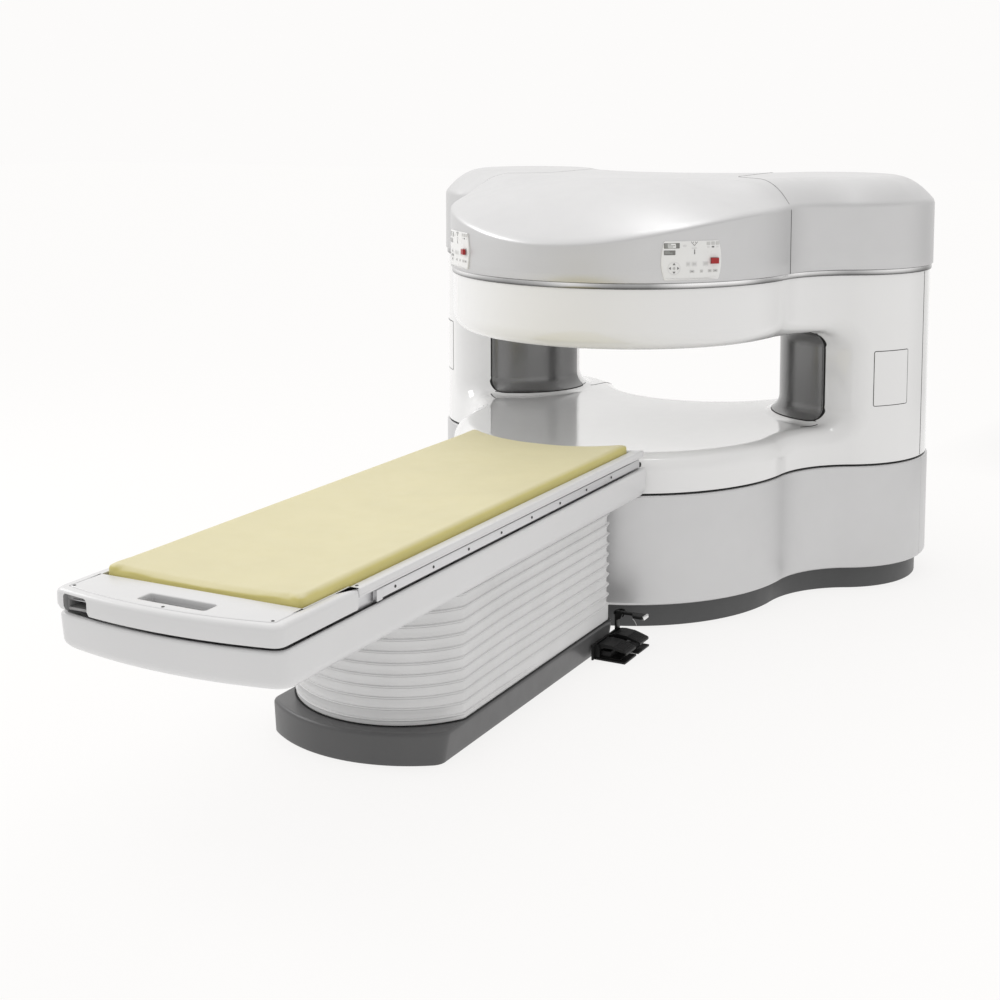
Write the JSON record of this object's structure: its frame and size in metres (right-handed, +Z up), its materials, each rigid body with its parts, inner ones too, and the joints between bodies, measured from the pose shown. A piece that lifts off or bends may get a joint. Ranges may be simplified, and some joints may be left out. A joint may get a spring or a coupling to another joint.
{
  "type": "mri scanner",
  "caption": "Open two-post MRI scanner: domed upper and lower magnet poles on two posts, with a lifting patient table, sliding padded top, bellows and foot pedals.",
  "frame": {"origin": "on the floor under the centre of the magnet disc, where the middle foot stands", "axes": "+Z up; the patient table runs out along -Y and the tray slides in along +Y; +X is the side with the foot pedals"},
  "size_m": [2.49, 4.414, 1.866],
  "materials": {
    "white_gloss": "smooth glossy white moulded cover",
    "silver_paint": "satin silver paint on moulded cover",
    "plinth_dark": "satin dark grey",
    "insert_metal": "satin dark metallic sheet",
    "trim_metal": "polished trim strip",
    "panel_white": null,
    "display_grey": "display window",
    "stop_red": "red push button",
    "yoke_iron": "machined iron",
    "magnet_steel": "machined steel",
    "coil_resin": "cast resin",
    "foot_steel": "zinc plated",
    "table_white": "satin white moulded housing",
    "bellows_white": "pleated sleeve",
    "base_grey": "satin grey moulded cover",
    "alloy": "anodised",
    "steel_plate": "painted steel plate",
    "glide_black": "low-friction strip",
    "screw_dark": "socket screw head",
    "roller_black": "end roller",
    "motor_grey": "painted motor housing",
    "vinyl_yellow": "pale yellow coated cover over foam",
    "pedal_black": "black moulded pedal",
    "tip_chrome": "bright lever tip"
  },
  "bodies": {
    "frame": {"access_panel_left": "white_gloss", "access_panel_right": "white_gloss", "base_cover": "base_grey", "base_plate": "steel_plate", "bellows": "bellows_white", "column_cover_left": "white_gloss", "column_cover_right": "white_gloss", "gantry_plinth": "plinth_dark", "gradient_coil_lower": "coil_resin", "gradient_coil_upper": "coil_resin", "lift_column_outer": "alloy", "lift_motor": "motor_grey", "lower_cover": "white_gloss", "magnet_feet": "foot_steel", "magnet_lower": "magnet_steel", "magnet_upper": "magnet_steel", "panel_displays_left": "display_grey", "panel_displays_right": "display_grey", "panel_plate_left": "panel_white", "panel_plate_right": "panel_white", "pedal_mount": "pedal_black", "pedal_pins": "foot_steel", "post_insert_left": "insert_metal", "post_insert_right": "insert_metal", "rear_cover_left": "white_gloss", "rear_cover_right": "white_gloss", "rf_coil_lower": "coil_resin", "rf_coil_upper": "coil_resin", "skirt_front": "silver_paint", "skirt_rear": "silver_paint", "top_cover_centre": "silver_paint", "top_cover_left": "silver_paint", "top_cover_right": "silver_paint", "trim_band": "trim_metal", "upper_cover": "white_gloss", "yoke_lower": "yoke_iron", "yoke_post_left": "yoke_iron", "yoke_post_right": "yoke_iron", "yoke_upper": "yoke_iron"},
    "lift_middle": {"lift_column_middle": "alloy"},
    "carriage": {"lift_column_inner": "alloy", "carriage_trough": "table_white", "carriage_frame": "alloy", "glide_strips": "glide_black", "side_rail_left": "alloy", "side_rail_right": "alloy", "rail_screws": "screw_dark", "rail_end_rollers": "roller_black", "rail_brackets": "alloy", "foot_housing": "table_white", "tray_drive_unit": "motor_grey"},
    "tabletop": {"tray": "table_white", "tray_screws": "screw_dark", "mattress": "vinyl_yellow"},
    "pedal_up_body": {"pedal_up": "pedal_black"},
    "pedal_down_body": {"pedal_down": "pedal_black"},
    "release_body": {"release_lever": "pedal_black", "lever_tip": "tip_chrome"},
    "stop_right_body": {"stop_button_right": "stop_red"},
    "stop_left_body": {"stop_button_left": "stop_red"}
  },
  "joints": [
    {"name": "table_lift", "type": "slide", "parent": "frame", "child": "carriage", "axis": [0, 0, 1], "range_m": [-0.25, 0.06], "deforming": ["bellows"]},
    {"name": "lift_middle_stage", "type": "slide", "parent": "frame", "child": "lift_middle", "axis": [0, 0, 1], "range_m": [-0.125, 0.03]},
    {"name": "tabletop_slide", "type": "slide", "parent": "carriage", "child": "tabletop", "axis": [0, 1, 0], "range_m": [0, 1.35]},
    {"name": "pedal_up_hinge", "type": "hinge", "parent": "frame", "child": "pedal_up_body", "pos_m": [0.379, -1.058, 0.05], "axis": [0, 1, 0], "range_deg": [0, 9], "stiffness_Nm_per_rad": 8, "springref_deg": -11.46},
    {"name": "pedal_down_hinge", "type": "hinge", "parent": "frame", "child": "pedal_down_body", "pos_m": [0.379, -0.924, 0.05], "axis": [0, 1, 0], "range_deg": [0, 9], "stiffness_Nm_per_rad": 8, "springref_deg": -11.46},
    {"name": "release_lever_hinge", "type": "hinge", "parent": "frame", "child": "release_body", "pos_m": [0.383, -0.884, 0.13], "axis": [0, 1, 0], "range_deg": [0, 10], "stiffness_Nm_per_rad": 8, "springref_deg": -11.46},
    {"name": "stop_button_right_press", "type": "slide", "parent": "frame", "child": "stop_right_body", "axis": [0.6884, -0.7254, 0], "range_m": [-0.003, 0], "stiffness_N_per_m": 1200, "springref_m": 0.002},
    {"name": "stop_button_left_press", "type": "slide", "parent": "frame", "child": "stop_left_body", "axis": [-0.6884, -0.7254, 0], "range_m": [-0.003, 0], "stiffness_N_per_m": 1200, "springref_m": 0.002}
  ],
  "couplings": [
    {"joint": "lift_middle_stage", "follows": "table_lift", "ratio": 0.5}
  ]
}
